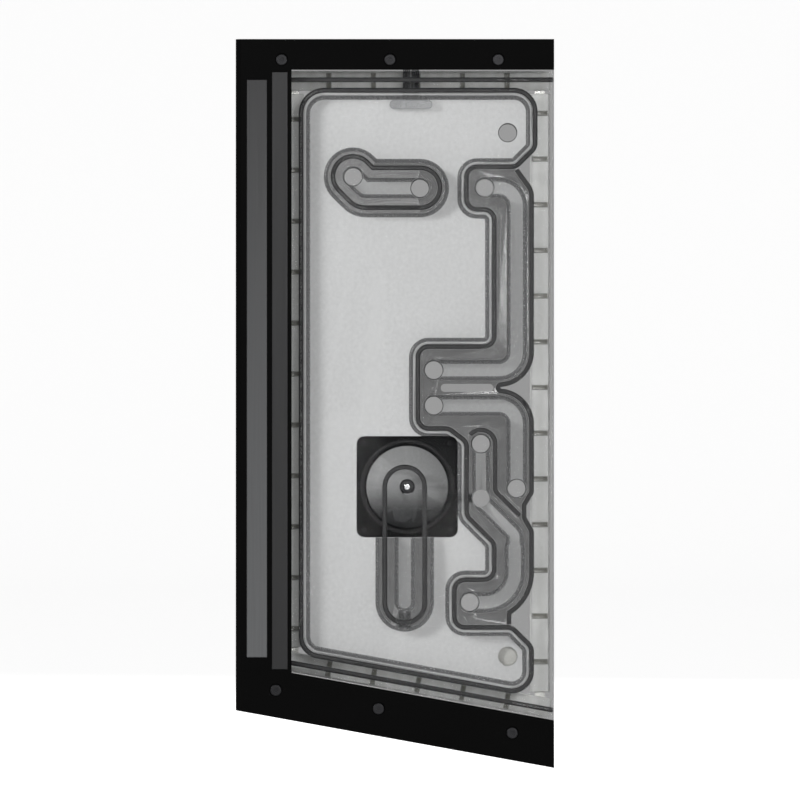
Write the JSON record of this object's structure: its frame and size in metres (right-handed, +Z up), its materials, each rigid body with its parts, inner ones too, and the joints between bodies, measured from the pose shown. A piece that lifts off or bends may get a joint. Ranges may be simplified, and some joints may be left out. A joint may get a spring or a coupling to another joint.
{
  "type": "water cooling distribution plate",
  "caption": "Clear acrylic water cooling plate with milled channels, built-in reservoir and pump, in a black frame with a slanted foot.",
  "frame": {"origin": "mouth of the middle top standoff's case screw hole, on the case's mounting face", "axes": "+X to the right as seen from the front, +Z up, -Y towards the viewer; +Y out of the back, into the case's panel"},
  "size_m": [0.194, 0.0714, 0.4441],
  "materials": {
    "clear_acrylic": "milled and polished clear acrylic",
    "black_aluminium": "bead-blasted, black anodised",
    "grey_strip": "brushed, grey anodised",
    "dark_strip": "brushed, dark grey anodised",
    "seal_rubber": "soft black cord",
    "white_board": "white printed board",
    "lamp": "small square lamps",
    "board_metal": "plain",
    "black_plug": "black plated",
    "ring_rubber": "soft black ring",
    "pale_plug": "turned natural acetal",
    "pale_ring": "soft translucent ring",
    "pump_plastic": "moulded black plastic",
    "socket_plastic": "moulded natural plastic",
    "steel_screw": "blackened steel",
    "steel_pin": "ground and polished",
    "impeller_plastic": "moulded dark grey plastic",
    "magnet": "sintered ferrite"
  },
  "bodies": {
    "plate": {"channel_body": "clear_acrylic", "front_cover": "clear_acrylic", "fill_baffle": "clear_acrylic", "front_frame": "black_aluminium", "outer_strip": "grey_strip", "inner_strip": "dark_strip", "reservoir_seal": "seal_rubber", "bridge_seal": "seal_rubber", "suction_seal": "seal_rubber", "outer_channel_seal": "seal_rubber", "divider_seal": "seal_rubber", "upper_edge_seal": "seal_rubber", "lower_edge_seal": "seal_rubber", "pump_seal": "ring_rubber", "top_light_board": "white_board", "left_light_board": "white_board", "right_light_board": "white_board", "bottom_light_board": "white_board", "top_lamps": "lamp", "left_lamps": "lamp", "right_lamps": "lamp", "bottom_lamps": "lamp", "board_links": "board_metal", "light_header": "board_metal", "fill_plug": "black_plug", "fill_plug_ring": "ring_rubber", "drain_plug": "pale_plug", "drain_plug_ring": "pale_ring", "pump_housing": "pump_plastic", "pump_socket": "socket_plastic", "pump_screws": "steel_screw", "impeller_pin": "steel_pin", "pin_cap": "steel_pin", "frame_screws": "steel_screw", "standoffs": "steel_screw"},
    "rotor": {"impeller": "impeller_plastic", "rotor_magnet": "magnet"}
  },
  "joints": [
    {"name": "impeller_spin", "type": "hinge", "parent": "plate", "child": "rotor", "pos_m": [0.0105, -0.016, -0.2605], "axis": [0, -1, 0], "continuous": true}
  ]
}
